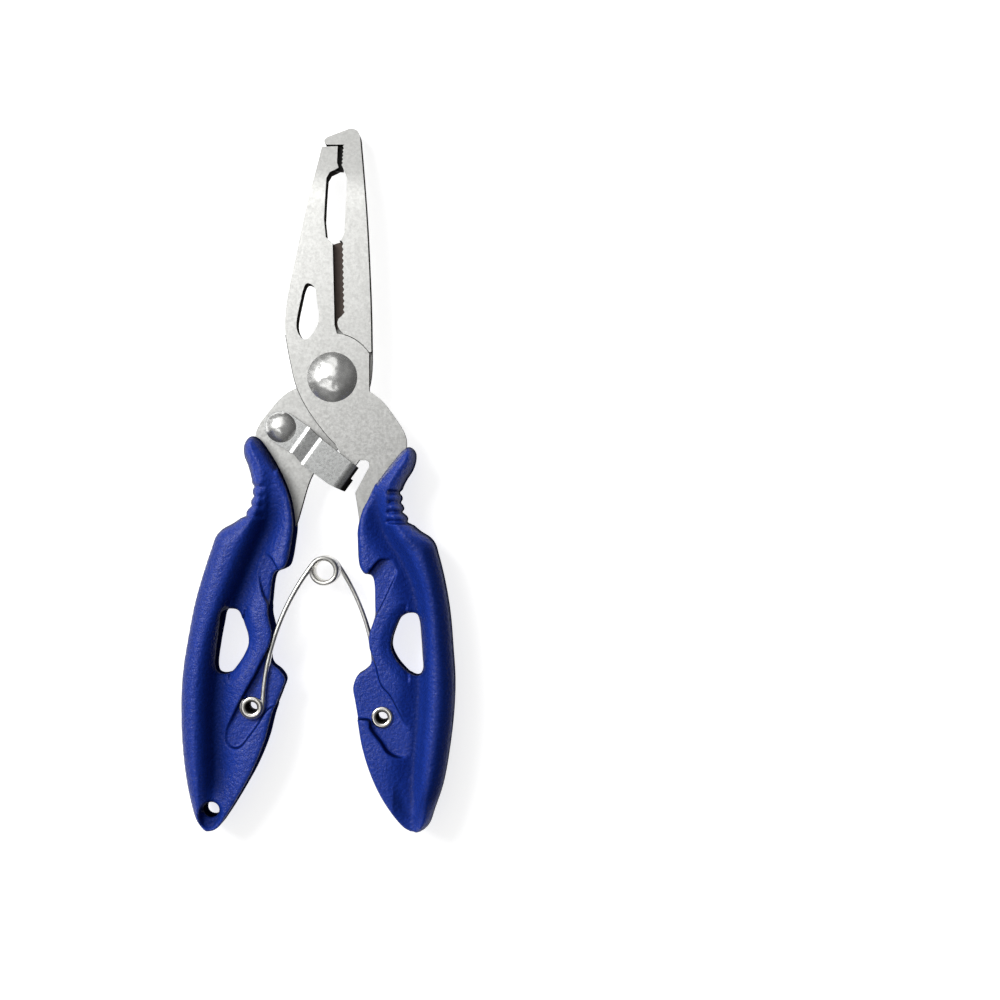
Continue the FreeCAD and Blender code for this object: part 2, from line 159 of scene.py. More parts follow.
def soft_min(a, b, r):
    """The smaller of two heights, with the crease between them blended over r."""
    h = np.clip(0.5 + 0.5 * (b - a) / r, 0, 1)
    return b + (a - b) * h - r * h * (1 - h)


def round_join(a, b, r):
    """The intersection of two fields with an edge rounded to radius r."""
    return np.minimum(np.maximum(a, b), -r) + np.hypot(np.maximum(a + r, 0), np.maximum(b + r, 0))


def net_mesh(field, origin, step):
    """Surface net of a 3-D field's zero level: vertices and quads."""
    shape = tuple(n - 1 for n in field.shape)
    total, count = np.zeros(shape + (3,)), np.zeros(shape)
    inside = field < 0
    index = np.indices(field.shape).astype(float)
    quads = []
    for axis in range(3):
        low = tuple(slice(0, -1) if a == axis else slice(None) for a in range(3))
        high = tuple(slice(1, None) if a == axis else slice(None) for a in range(3))
        cross = inside[low] != inside[high]
        with np.errstate(divide="ignore", invalid="ignore"):
            t = np.where(cross, field[low] / (field[low] - field[high]), 0)
        point = np.stack([index[a][low] + (t if a == axis else 0) for a in range(3)], -1)
        u, v = [a for a in range(3) if a != axis]
        for du in (0, 1):
            for dv in (0, 1):
                edge = [slice(None)] * 3
                for a, shift in ((u, du), (v, dv)):
                    edge[a] = slice(0, -1) if shift else slice(1, None)
                part = cross[tuple(edge)]
                total += np.where(part[..., None], point[tuple(edge)], 0)
                count += part
        edges = np.argwhere(cross)
        keep = (edges[:, u] > 0) & (edges[:, v] > 0)
        keep &= (edges[:, u] < field.shape[u] - 1) & (edges[:, v] < field.shape[v] - 1)
        edges = edges[keep]
        corner = []
        for su, sv in ((1, 1), (0, 1), (0, 0), (1, 0)):
            cell = edges.copy()
            cell[:, u] -= su
            cell[:, v] -= sv
            corner.append(cell)
        quads.append((edges, corner, inside[tuple(edges.T)] ^ (axis == 1)))
    used = count > 0
    number = np.full(shape, -1)
    number[used] = np.arange(used.sum())
    verts = origin + total[used] / count[used][:, None] * step
    faces = []
    for edges, corner, flip in quads:
        quad = np.stack([number[tuple(c.T)] for c in corner], 1)
        quad[~flip] = quad[~flip][:, ::-1]
        faces.append(quad)
    return verts, np.vstack(faces)


def settle(verts, field, origin, step, rounds=3):
    """Moves the vertices onto the zero level of the field."""
    grad = np.gradient(field, step)
    for _ in range(rounds):
        at = np.clip((verts - origin) / step, 0, np.array(field.shape) - 1.001)
        base = at.astype(int)
        frac = at - base

        def sample(values):
            """The grid's values at the vertices, blended from the eight corners round each."""
            out = 0
            for corner in itertools.product((0, 1), repeat=3):
                weight = np.abs(1 - np.array(corner) - frac).prod(1)
                out = out + weight * values[tuple((base + corner).T)]
            return out

        value = sample(field)
        slope = np.stack([sample(g) for g in grad], 1)
        push = value / np.maximum((slope ** 2).sum(1), 0.05)
        verts = verts - slope * np.clip(push, -step / 2, step / 2)[:, None] * 0.8
    return verts


# ---------------------------------------------------------------- grips

LEFT_GRIP = [
    (-12.7, -11.3), (-13.9, -11.0), (-14.95, -12.2), (-15.0, -14.4), (-14.2, -16.3), (-13.4, -18.8),
    (-13.2, -21.0), (-13.6, -23.2), (-14.5, -24.9), (-16.1, -26.3), (-18.3, -27.7), (-19.3, -29.0),
    (-19.8, -30.6), (-21.0, -34.8), (-22.4, -40.6), (-23.4, -47.2), (-24.0, -52.5), (-24.1, -58.2),
    (-23.7, -64.6), (-22.85, -70.6), (-21.7, -75.6), (-20.3, -79.4), (-18.6, -81.0), (-16.8, -80.3),
    (-15.3, -78.2), (-12.65, -73.4), (-10.7, -69.4), (-8.9, -64.4), (-7.9, -59.8), (-6.5, -55.6),
    (-6.0, -53.6), (-6.9, -52.2), (-8.5, -50.9), (-8.9, -49.4), (-8.7, -47.4), (-8.5, -45.4),
    (-9.3, -42.0), (-9.2, -40.0), (-8.55, -34.9), (-7.5, -34.35), (-6.6, -33.7), (-6.1, -32.2),
    (-5.75, -29.6), (-5.55, -26.6), (-6.1, -23.0), (-6.9, -20.4), (-8.2, -17.6), (-9.7, -15.1),
]
RIGHT_GRIP = [
    (-13.3, -12.0), (-14.3, -11.75), (-15.2, -12.6), (-15.3, -14.2), (-14.8, -15.9), (-13.8, -17.6),
    (-13.1, -19.4), (-13.3, -21.2), (-13.7, -23.0), (-14.7, -24.8), (-16.5, -26.4), (-18.5, -27.6),
    (-19.4, -28.7), (-20.0, -30.4), (-21.3, -34.8), (-22.55, -40.6), (-23.4, -47.2),
    (-23.95, -52.5), (-24.0, -58.2), (-23.55, -64.6), (-22.75, -70.6), (-21.5, -75.0),
    (-20.4, -78.2), (-18.5, -79.6), (-16.5, -79.0), (-14.9, -77.5), (-12.0, -73.6), (-9.9, -69.6),
    (-8.1, -64.6), (-7.1, -60.0), (-6.4, -56.8), (-6.0, -55.0), (-6.1, -53.9), (-6.7, -52.4),
    (-8.0, -51.4), (-8.95, -50.2), (-8.8, -48.0), (-8.5, -45.4), (-9.35, -42.0), (-9.3, -40.0),
    (-8.6, -34.8), (-7.3, -34.3), (-6.5, -33.2), (-6.15, -31.9), (-5.85, -28.7), (-5.75, -26.7),
    (-6.4, -23.3), (-7.3, -21.3), (-8.1, -19.3), (-9.05, -17.6), (-10.05, -16.1), (-11.25, -14.4),
]
LEFT_HOLE = [
    (-17.5, -42.3), (-16.9, -41.75), (-15.9, -41.6), (-14.75, -41.95), (-13.6, -44.2),
    (-12.85, -46.0), (-12.7, -47.6), (-13.25, -49.3), (-14.35, -51.2), (-15.6, -52.7),
    (-16.9, -53.15), (-18.0, -52.8), (-18.4, -51.7), (-18.2, -48.1), (-17.8, -44.5),
]
RIGHT_HOLE = [
    (-17.15, -42.0), (-16.65, -41.15), (-15.4, -41.0), (-14.0, -41.8), (-12.95, -44.2),
    (-12.5, -46.1), (-12.55, -47.3), (-13.6, -49.35), (-15.3, -51.1), (-16.5, -51.85),
    (-17.55, -51.95), (-18.2, -50.7), (-18.0, -48.3), (-17.6, -44.7),
]
LEFT_VALLEY = [
    (-8.9, -12.0), (-9.0, -17.0), (-9.3, -20.0), (-9.6, -23.5), (-10.3, -26.7), (-11.5, -30.0),
    (-12.8, -33.4), (-14.1, -37.3), (-15.4, -41.4), (-17.0, -47.0), (-17.7, -52.0), (-17.9, -58.0),
    (-17.7, -64.0), (-17.4, -70.0), (-17.4, -74.5), (-17.9, -84.0),
]
RIGHT_VALLEY = [
    (-8.6, -12.0), (-8.6, -20.0), (-8.9, -22.8), (-9.8, -26.2), (-11.3, -28.9), (-12.9, -31.0),
    (-14.6, -34.0), (-15.9, -37.4), (-16.6, -41.4), (-17.1, -47.0), (-17.3, -52.0), (-17.4, -58.0),
    (-17.2, -64.0), (-17.0, -70.0), (-17.2, -74.5), (-17.7, -84.0),
]
LEFT_PAD = [
    (-11.9, -32.9), (-11.6, -32.0), (-10.9, -31.7), (-9.9, -31.7), (-9.1, -32.4), (-8.4, -33.4),
    (-7.6, -34.8), (-6.0, -36.0), (-6.0, -42.8), (-8.6, -42.8), (-9.3, -40.6), (-10.4, -38.6),
    (-11.1, -36.4), (-11.6, -34.4),
]
RIGHT_PAD = [
    (-12.9, -32.8), (-12.4, -31.9), (-11.3, -31.6), (-10.2, -31.7), (-9.4, -32.3), (-8.6, -33.4),
    (-7.6, -34.8), (-6.0, -36.0), (-6.0, -42.8), (-8.6, -42.8), (-9.9, -41.0), (-11.0, -38.6),
    (-12.0, -36.2), (-12.8, -34.2),
]
LEFT_RECESS = [
    (-8.2, -47.5), (-9.6, -49.6), (-11.2, -53.2), (-13.2, -57.0), (-14.9, -60.6), (-15.9, -63.2),
    (-15.7, -65.2), (-14.4, -66.0), (-13.2, -65.6), (-11.6, -63.5), (-10.2, -61.4), (-8.9, -59.2),
    (-8.0, -58.4), (-6.6, -58.0), (-3.0, -55.0), (-4.5, -48.5),
]
RIGHT_RECESS = [
    (-8.2, -47.5), (-9.6, -49.6), (-11.0, -53.7), (-12.6, -55.5), (-14.9, -59.4), (-16.2, -61.6),
    (-17.0, -64.4), (-16.2, -66.0), (-14.8, -66.4), (-13.5, -66.0), (-12.5, -65.3), (-11.6, -64.0),
    (-9.5, -61.4), (-9.2, -60.1), (-6.6, -59.6), (-3.0, -55.0), (-4.5, -48.5),
]
TANG_MOUTH = [
    (-13.0, -9.0), (-13.4, -12.0), (-11.3, -18.0), (-10.0, -22.0), (-8.0, -24.6), (-5.0, -25.4),
    (-3.0, -18.0), (-4.0, -9.0),
]
LANYARD = (-17.95, -77.1)
LANYARD_R = 1.35
LANYARD_DISH = [
    (-17.0, -75.9), (-16.2, -77.2), (-16.6, -79.0), (-17.8, -80.2), (-19.2, -80.1), (-19.7, -78.6),
    (-19.4, -76.9), (-18.4, -75.6),
]
RIB_FIRST = -19.9               # Y of the first crease between the thumb ribs
RIB_PITCH = 1.7
RIB_COUNT = 3
RIB_MARGIN = 0.25               # how far past the end creases the scallops run, in pitches
PATCH_SINK = 0.55               # the whole ribbed patch lies this part of a rib's depth lower

# Heights above the middle plane, and the widths over which they change.
TOP_LEVEL = 4.7                 # face of the upper end
VALLEY_DEPTH = 2.5
TAIL_RISE = 1.0                 # of the valley's floor towards the tail
LOBE_DROP = 0.6                 # of the inner lobes, half way down
LOBE_RISE = 0.3                 # of the inner lobes towards the tail
TAIL_WIDENING = 0.5             # of the valley's inner side
RIM_WIDTH = 1.9                 # from the valley to the crest of the outer rim
SHOULDER_LEVEL = 2.3            # where the outer edge starts to round over
SHOULDER_WIDTH = 3.6
FAR_INSIDE = 10.0               # the inner side has no shoulder
PAD_LEVEL = 2.9
PAD_SLOPE = 0.3
RECESS_SLOPE = 0.4
WINDOW_SINK = 0.9               # of the face round the window, on the window's inner side
WINDOW_SLOPE = 2.2
DISH_LEVEL = 2.5
DISH_SLOPE = 1.0

GRID_LOW = (-25.5, -82.3)       # corners of the area that is meshed
GRID_HIGH = (-5.0, -10.0)
GRID_MARGIN = 0.6
EDGE_R = 0.65                   # of the outer edges; twice that near the upper end
WINDOW_EDGE_R = 0.8
LANYARD_EDGE_R = 0.4
FERRULE_BORE_R = 1.38
TANG_SLOT_HALF = 1.08

# "lobe" is the width of the valley's inner side. "rib" and "nick" are the depths of the thumb creases in
# the face and in the outline. The two shade entries set painted shade, a darkening that stands for
# shadow:
# the valley's is a strength and a width from the valley's line, and the slope's is a strength, and a
# start and a width from the outline.
GRIPS = {
    "left": {
        "outline": LEFT_GRIP, "hole": LEFT_HOLE, "valley": LEFT_VALLEY, "pad": LEFT_PAD,
        "recess": LEFT_RECESS, "ferrule": LEFT_FERRULE, "lobe": 2.6, "rib": 0.4, "nick": 0.55,
        "valley_painted_shade": (0.75, 2.1), "slope_painted_shade": (0.35, 0.3, 2.5),
        "plate_z": -1.0, "lanyard": True, "mirror": False,
    },
    "right": {
        "outline": RIGHT_GRIP, "hole": RIGHT_HOLE, "valley": RIGHT_VALLEY, "pad": RIGHT_PAD,
        "recess": RIGHT_RECESS, "ferrule": RIGHT_FERRULE, "lobe": 2.0, "rib": 0.95, "nick": 0.6,
        "valley_painted_shade": (0.45, 1.0), "slope_painted_shade": (0.7, 1.6, 2.4),
        "plate_z": 1.0, "lanyard": False, "mirror": True,
    },
}


def rib_scallop(y):
    """1 in the creases between the thumb ribs, and 0 on their crowns and elsewhere."""
    last = RIB_COUNT + RIB_MARGIN
    phase = (RIB_FIRST - y) / RIB_PITCH
    on = (phase > -RIB_MARGIN) & (phase < last)
    return np.where(on, 1 - np.abs(np.sin(np.pi * np.clip(phase, -RIB_MARGIN, last))), 0)


def grip_height(x, y, outline, kind):
    """Half thickness of a grip.

    An outer rim, a valley beside it and lobes on the inner side make the form. The thumb ribs, the pad,
    the spring's recess, the slope into the window and the dish at the lanyard hole are cut into it.
    """
    distance, side = nearest(smooth_path(kind["valley"]), x, y, closed=False)
    inner = side < 0
    floor = TOP_LEVEL - VALLEY_DEPTH * below(y, -16, 12) + TAIL_RISE * below(y, -68, 9)
    rim = floor + (GRIP_HALF - floor) * swell(distance / RIM_WIDTH)
    crown = TOP_LEVEL - LOBE_DROP * below(y, -33, 5) + LOBE_RISE * below(y, -62, 6)
    lobe_width = kind["lobe"] + TAIL_WIDENING * below(y, -52, 8)
    lobe = floor + (crown - floor) * swell(distance / lobe_width)
    from_edge = np.where(inner, FAR_INSIDE, -outline)
    over = 1 - np.clip(from_edge / SHOULDER_WIDTH, 0, 1)
    shoulder = SHOULDER_LEVEL + (GRIP_HALF - SHOULDER_LEVEL) * np.sqrt(1 - over ** 2)
    height = soft_min(np.where(inner, lobe, rim), shoulder, 0.35)

    height = height - kind["rib"] * (rib_scallop(y) * below(x, -10.4, 0.9))
    height = height - (PATCH_SINK * kind["rib"] * below(x, -10.6, 0.6) * below(y, -19.2, 0.6)
                       * above(y, -25.6, 0.6))
    pad = inside_field(kind["pad"], x, y)
    height = toward(height, np.minimum(height, PAD_LEVEL), ease(0.5 - pad / PAD_SLOPE))
    recess = inside_field(kind["recess"], x, y)
    height = toward(height, RECESS_LEVEL, ease(0.5 - recess / RECESS_SLOPE))
    hole = inside_field(kind["hole"], x, y)
    slope = ease(1 - hole / WINDOW_SLOPE) * above(x, -17.6, 1.2)
    height = height - WINDOW_SINK * slope * (height > 3)
    if kind["lanyard"]:
        dish = inside_field(LANYARD_DISH, x, y)
        height = toward(height, np.minimum(height, DISH_LEVEL), ease(0.5 - dish / DISH_SLOPE))
    return height


def painted_grip_shade(x, y, kind):
    """Painted shade on the plastic, 0 to 1: darkening in the valley, down the outer slope and in the
    lanyard dish.
    """
    along, _ = nearest(smooth_path(kind["valley"]), x, y, closed=False)
    edge, _ = nearest(smooth_path(kind["outline"], closed=True), x, y, closed=True)
    strength, width = kind["valley_painted_shade"]
    valley = strength * np.exp(-(along / width) ** 2) * below(y, -18, 8) * above(y, -78, 6)
    outer = (x < -16) | (y < -26) & (x < -14)
    strength, start, width = kind["slope_painted_shade"]
    slope = strength * (1 - above(edge, start, width)) * outer * below(y, -26, 4) * above(y, -80, 8)
    painted_dark = np.maximum(valley, slope)
    if kind["lanyard"]:
        painted_dark = np.maximum(painted_dark, 0.55 * ease(0.5 - inside_field(LANYARD_DISH, x, y) / 0.8))
    return painted_dark


def grip_mesh(name, kind):
    """One moulded grip as an object; both are drawn on the left, and the right one is then mirrored."""
    low = np.array([*GRID_LOW, -GRIP_HALF - GRID_MARGIN])
    high = np.array([*GRID_HIGH, GRIP_HALF + GRID_MARGIN])
    cells = np.ceil((high - low) / VOXEL).astype(int) + 1
    gx, gy, gz = [low[a] + VOXEL * np.arange(cells[a]) for a in range(3)]
    x, y = np.meshgrid(gx, gy, indexing="ij")
    z = gz[None, None, :]

    def bored(field, centre_x, centre_y, radius, edge_r):
        """The field with a round bore through it; the bore's edge is sharp where edge_r is 0."""
        bore = (radius - np.hypot(x - centre_x, y - centre_y))[..., None]
        return round_join(field, bore, edge_r) if edge_r else np.maximum(field, bore)

    outline = inside_field(kind["outline"], x, y)
    height = grip_height(x, y, outline, kind)
    outline = outline + kind["nick"] * rib_scallop(y) * (x < -9)
    top = np.maximum(above(y, -34, 3) * above(x, -9.5, 1.5), above(y, -20, 5))
    edge_r = (EDGE_R + EDGE_R * top)[..., None]
    walls = np.broadcast_to(outline[..., None], tuple(cells))
    field = round_join(walls, np.abs(z) - height[..., None], edge_r)
    field = round_join(field, -inside_field(kind["hole"], x, y)[..., None], WINDOW_EDGE_R)
    if kind["lanyard"]:
        field = bored(field, *LANYARD, LANYARD_R, LANYARD_EDGE_R)
    field = bored(field, kind["ferrule"].x, kind["ferrule"].y, FERRULE_BORE_R, 0)
    mouth = inside_field(TANG_MOUTH, x, y)[..., None]
    slot = np.maximum(mouth, np.abs(z - kind["plate_z"]) - TANG_SLOT_HALF)
    field = np.maximum(field, -slot)
    verts, faces = net_mesh(field, low, VOXEL)
    verts = settle(verts, field, low, VOXEL)
    if kind["mirror"]:
        verts[:, 0] *= -1
        faces = faces[:, ::-1]
    piece = new_piece(name, verts, faces)
    # the grip carries its painted shade as a point attribute, which the plastic's material reads
    shade = piece.data.attributes.new("painted_shade", "FLOAT", "POINT")
    shade.data.foreach_set("value", painted_grip_shade(-np.abs(verts[:, 0]), verts[:, 1], kind))
    return piece


# ---------------------------------------------------------------- mesh helpers

def new_piece(name, verts, faces):
    """A smooth-shaded mesh object; its vertices are given in mm from the pivot at mid thickness."""
    mesh = bpy.data.meshes.new(name)
    points = (np.array(verts, float) + np.array(PIVOT)) * MM
    mesh.from_pydata(points.tolist(), [], np.array(faces).tolist())
    mesh.polygons.foreach_set("use_smooth", [True] * len(mesh.polygons))
    mesh.update()
    piece = bpy.data.objects.new(name, mesh)
    bpy.context.scene.collection.objects.link(piece)
    return piece


CAP_ANGLES = (0.6, 1.15)        # rings of a wire's rounded end, in radians from its last full ring
CAP_DEPTH = 0.6                 # of that end, in radii


def tube(name, path, radius, sides=14):
    """A round wire along a path of points, with rounded ends."""
    path = np.array(path, float)
    run = np.gradient(path, axis=0)
    run /= np.linalg.norm(run, axis=1)[:, None]
    normal = np.cross(run[0], [0.3, 0.2, 1.0])
    angle = np.linspace(0, 2 * np.pi, sides, endpoint=False)[:, None]
    rings = []
    for along in run:
        normal = normal - along * normal.dot(along)
        normal /= np.linalg.norm(normal)
        rings.append(np.cos(angle) * normal + np.sin(angle) * np.cross(along, normal))

    def cap(end, outward):
        return [path[end] + outward * radius * math.sin(a) * CAP_DEPTH + rings[end] * radius * math.cos(a)
                for a in CAP_ANGLES]

    body = [centre + ring * radius for centre, ring in zip(path, rings)]
    verts = cap(0, -run[0])[::-1] + body + cap(-1, run[-1])
    last = (len(verts) - 1) * sides
    faces = []
    for i in range(0, last, sides):
        for j in range(sides):
            k = (j + 1) % sides
            faces.append((i + j, i + k, i + sides + k, i + sides + j))
    piece = new_piece(name, np.vstack(verts), faces)
    bm = bmesh.new()
    bm.from_mesh(piece.data)
    bm.verts.ensure_lookup_table()
    bm.faces.new([bm.verts[j] for j in reversed(range(sides))])
    bm.faces.new([bm.verts[last + j] for j in range(sides)])
    bmesh.ops.recalc_face_normals(bm, faces=bm.faces)
    bm.to_mesh(piece.data)
    bm.free()
    return piece


def lathe(name, centre, profile, sides=64):
    """A closed profile of (radius, height) points turned about a vertical axis."""
    verts, faces = [], []
    count = len(profile)
    for i in range(sides):
        a = 2 * math.pi * i / sides
        verts += [(centre[0] + r * math.cos(a), centre[1] + r * math.sin(a), z) for r, z in profile]
    for i in range(sides):
        j = (i + 1) % sides
        for k in range(count):
            m = (k + 1) % count
            faces.append((i * count + k, j * count + k, j * count + m, i * count + m))
    return new_piece(name, verts, faces)


# ---------------------------------------------------------------- spring

def circle_through(a, b, c):
    """Centre and radius of the circle through three points in the plane."""
    d = 2 * (a[0] * (b[1] - c[1]) + b[0] * (c[1] - a[1]) + c[0] * (a[1] - b[1]))
    ux = ((a[0] ** 2 + a[1] ** 2) * (b[1] - c[1]) + (b[0] ** 2 + b[1] ** 2) * (c[1] - a[1])
          + (c[0] ** 2 + c[1] ** 2) * (a[1] - b[1])) / d
    uy = ((a[0] ** 2 + a[1] ** 2) * (c[0] - b[0]) + (b[0] ** 2 + b[1] ** 2) * (a[0] - c[0])
          + (c[0] ** 2 + c[1] ** 2) * (b[0] - a[0])) / d
    return (ux, uy), math.dist((ux, uy), a)


LEG_FROM_DEG = 145.0            # where the leg leaves the coil
LEFT_LEG_VIA = (-7.1, -43.1)    # a point on the bow of each leg, the right one mirrored
RIGHT_LEG_VIA = (-7.35, -43.1)
HOOK_R = 1.84
HOOK_TURN_DEG = 215.0
HOOK_STEPS = 60
LEG_STEPS = 70
COIL_STEPS = 260
COIL_SINK = 0.05                # of the coil's first turn below the leg


def spring_path(ferrule, via):
    """Left half of the spring: hook at the ferrule, bowed leg, and coil down to the coil's middle."""
    hook = []
    for turned in np.linspace(HOOK_TURN_DEG, 0, HOOK_STEPS, endpoint=False):
        a = math.radians(-turned)
        hook.append((ferrule.x + HOOK_R * math.cos(a), ferrule.y + HOOK_R * math.sin(a), LEG_LEVEL))
    start = math.radians(LEG_FROM_DEG)
    foot = (ferrule.x + HOOK_R, ferrule.y)
    head = (COIL.x + COIL_R * math.cos(start), COIL.y + COIL_R * math.sin(start))
    centre, radius = circle_through(foot, via, head)
    a0 = math.atan2(foot[1] - centre[1], foot[0] - centre[0])
    a1 = math.atan2(head[1] - centre[1], head[0] - centre[0])
    if a0 - a1 > math.pi:
        a1 += 2 * math.pi
    if a1 - a0 > math.pi:
        a0 += 2 * math.pi
    leg = [(centre[0] + radius * math.cos(a), centre[1] + radius * math.sin(a), LEG_LEVEL)
           for a in np.linspace(a0, a1, LEG_STEPS, endpoint=False)]
    half_turn = math.radians((2 * LEG_FROM_DEG - 180 + 360 * COIL_TURNS) / 2)
    coil = []
    for s in np.linspace(0, 1, COIL_STEPS):
        a = start - half_turn * s
        level = LEG_LEVEL * (1 - s) + COIL_SINK * math.exp(-s * 30)
        coil.append((COIL.x + COIL_R * math.cos(a), COIL.y + COIL_R * math.sin(a), level - COIL_SINK))
    coil[-1] = (coil[-1][0], coil[-1][1], 0.0)
    return np.array(hook + leg + coil)


def make_springs():
    turn_over = np.array([-1, 1, -1])
    paths = {"left": spring_path(LEFT_FERRULE, LEFT_LEG_VIA),
             "right": spring_path(RIGHT_FERRULE, RIGHT_LEG_VIA) * turn_over}
    for side, path in paths.items():
        piece = tube(f"spring_{side}_wire", path, WIRE_R)
        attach(piece, f"spring_{side}")
        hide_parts(f"spring_{side}_arm")
        piece.data.materials.append(MATERIALS["spring_wire"])


# ---------------------------------------------------------------- ferrules

THREAD_R = 1.12                 # everything nearer to the ferrule's axis is thread


def ferrule_profile(low, high):
    """Section of a hollow rivet with rolled flanges, seated at the two heights, and a threaded bore."""
    tube_r, bore_r, flange_r, lip = 1.33, 0.98, 1.95, 0.42
    outer = [(tube_r, low), (flange_r - 0.1, low), (flange_r, low - 0.12), (flange_r - 0.05, low - 0.3),
             (flange_r - 0.3, low - lip), (1.45, low - lip), (1.15, low - lip + 0.08)]
    top = [(1.15, high + lip - 0.08), (1.45, high + lip), (flange_r - 0.3, high + lip),
           (flange_r - 0.05, high + 0.3), (flange_r, high + 0.12), (flange_r - 0.1, high), (tube_r, high)]
    thread = []
    z = low - lip + 0.22
    while z < high + lip - 0.3:
        thread += [(bore_r + 0.1, z), (bore_r - 0.02, z + 0.17)]
        z += 0.34
    return outer + thread + top


def make_ferrules():
    wire_top = LEG_LEVEL + WIRE_R + 0.05
    kinds = (("left", LEFT_FERRULE.x, LEFT_FERRULE.y, -RECESS_LEVEL, wire_top),
             ("right", -RIGHT_FERRULE.x, RIGHT_FERRULE.y, -wire_top, RECESS_LEVEL))
    for side, x, y, low, high in kinds:
        piece = lathe(f"{side}_ferrule_eyelet", (x, y), ferrule_profile(low, high))
        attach(piece, f"{side}_half")
        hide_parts(f"{side}_ferrule")
        piece.data.materials.append(MATERIALS["ferrule"])
        # the thread inside the bore gets the near-black material: painted shade in the hole
        piece.data.materials.append(MATERIALS["shade_black"])
        for face in piece.data.polygons:
            centre = Vector(face.center) / MM - PIVOT
            face.material_index = int(math.dist(centre.xy, (x, y)) < THREAD_R)


# ---------------------------------------------------------------- materials

def material(name):
    made = bpy.data.materials.new(name)
    made.use_nodes = True
    nodes, links = made.node_tree.nodes, made.node_tree.links
    return made, nodes, links, nodes["Principled BSDF"]


def noise(nodes, links, coords, scale, detail=4.0, rough=0.55):
    tex = nodes.new("ShaderNodeTexNoise")
    tex.inputs["Scale"].default_value = scale
    tex.inputs["Detail"].default_value = detail
    tex.inputs["Roughness"].default_value = rough
    links.new(coords, tex.inputs["Vector"])
    return tex.outputs["Fac"]


def remap(nodes, links, value, low, high, to_low, to_high):
    node = nodes.new("ShaderNodeMapRange")
    numbers = (("From Min", low), ("From Max", high), ("To Min", to_low), ("To Max", to_high))
    for socket, number in numbers:
        node.inputs[socket].default_value = number
    links.new(value, node.inputs["Value"])
    return node.outputs["Result"]


def ramp(nodes, links, value, stops):
    node = nodes.new("ShaderNodeValToRGB")
    elements = node.color_ramp.elements
    for i, (at, colour) in enumerate(stops):
        stop = elements[i] if i < 2 else elements.new(at)
        stop.position = at
        stop.color = (*colour, 1)
    links.new(value, node.inputs["Fac"])
    return node.outputs["Color"]


def bump(nodes, links, bsdf, height, strength, distance, before=None):
    node = nodes.new("ShaderNodeBump")
    node.inputs["Strength"].default_value = strength
    node.inputs["Distance"].default_value = distance
    links.new(height, node.inputs["Height"])
    if before is not None:
        links.new(before, node.inputs["Normal"])
    links.new(node.outputs["Normal"], bsdf.inputs["Normal"])
    return node.outputs["Normal"]


def object_coords(nodes):
    return nodes.new("ShaderNodeTexCoord").outputs["Object"]


MIX_A, MIX_B, MIX_RESULT = 6, 7, 2     # the colour sockets of Blender's Mix node


def mixed(nodes, links, mask, base, colour):
    """The base colour, with another colour where the mask is 1."""
    mix = nodes.new("ShaderNodeMix")
    mix.data_type = "RGBA"
    links.new(mask, mix.inputs["Factor"])
    links.new(base, mix.inputs[MIX_A])
    mix.inputs[MIX_B].default_value = (*colour, 1)
    return mix.outputs[MIX_RESULT]


def wall_mask(nodes, links, upright, level):
    """1 on upright walls and 0 on level faces; the two limits are heights of the surface normal."""
    facing = nodes.new("ShaderNodeSeparateXYZ")
    links.new(nodes.new("ShaderNodeTexCoord").outputs["Normal"], facing.inputs[0])
    height = nodes.new("ShaderNodeMath")
    height.operation = "ABSOLUTE"
    links.new(facing.outputs["Z"], height.inputs[0])
    return remap(nodes, links, height.outputs[0], upright, level, 1, 0)


def grip_material():
    """Royal blue plastic with a fine grain, with painted shade: near black and with less sheen on its
    walls and where the painted-shade attribute says.
    """
    made, nodes, links, bsdf = material("moulded_blue_plastic")
    coords = object_coords(nodes)
    grain = noise(nodes, links, coords, 3400, 2, 0.6)
    colour = ramp(nodes, links, grain, [(0.35, (0.0082, 0.033, 0.28)), (0.65, (0.014, 0.055, 0.44))])
    painted_dark = nodes.new("ShaderNodeAttribute")
    painted_dark.attribute_name = "painted_shade"
    wall = wall_mask(nodes, links, 0.1, 0.7)
    painted_shade_mask = nodes.new("ShaderNodeMath")
    painted_shade_mask.operation = "MAXIMUM"
    links.new(wall, painted_shade_mask.inputs[0])
    links.new(painted_dark.outputs["Fac"], painted_shade_mask.inputs[1])
    # painted shade: walls and shaded places are mixed toward a near-black blue
    darkened = mixed(nodes, links, painted_shade_mask.outputs[0], colour, (0.0015, 0.004, 0.03))
    links.new(darkened, bsdf.inputs["Base Color"])
    # no sheen where the painted shade is full, so that it stays dark
    links.new(remap(nodes, links, painted_shade_mask.outputs[0], 0, 1, 1.42, 1.0), bsdf.inputs["IOR"])
    pebbles = noise(nodes, links, coords, 1500, 2, 0.5)
    links.new(remap(nodes, links, pebbles, 0.3, 0.7, 0.3, 0.44), bsdf.inputs["Roughness"])
    first = bump(nodes, links, bsdf, pebbles, 0.6, 0.0003)
    bump(nodes, links, bsdf, grain, 0.55, 0.0002, first)
    return made


PLATE_TONES = ((0.59, 0.59, 0.57), (0.70, 0.70, 0.68))
PLATE_ROUGHNESS = (0.30, 0.42)
LATCH_TONES = ((0.66, 0.67, 0.66), (0.76, 0.77, 0.76))
LATCH_ROUGHNESS = (0.24, 0.32)
# near black of the steep steel faces: painted shade
WALL_SHADE_PAINT = (0.022, 0.020, 0.019)
CUTTER_STEP = (0.085, 0.068, 0.060)


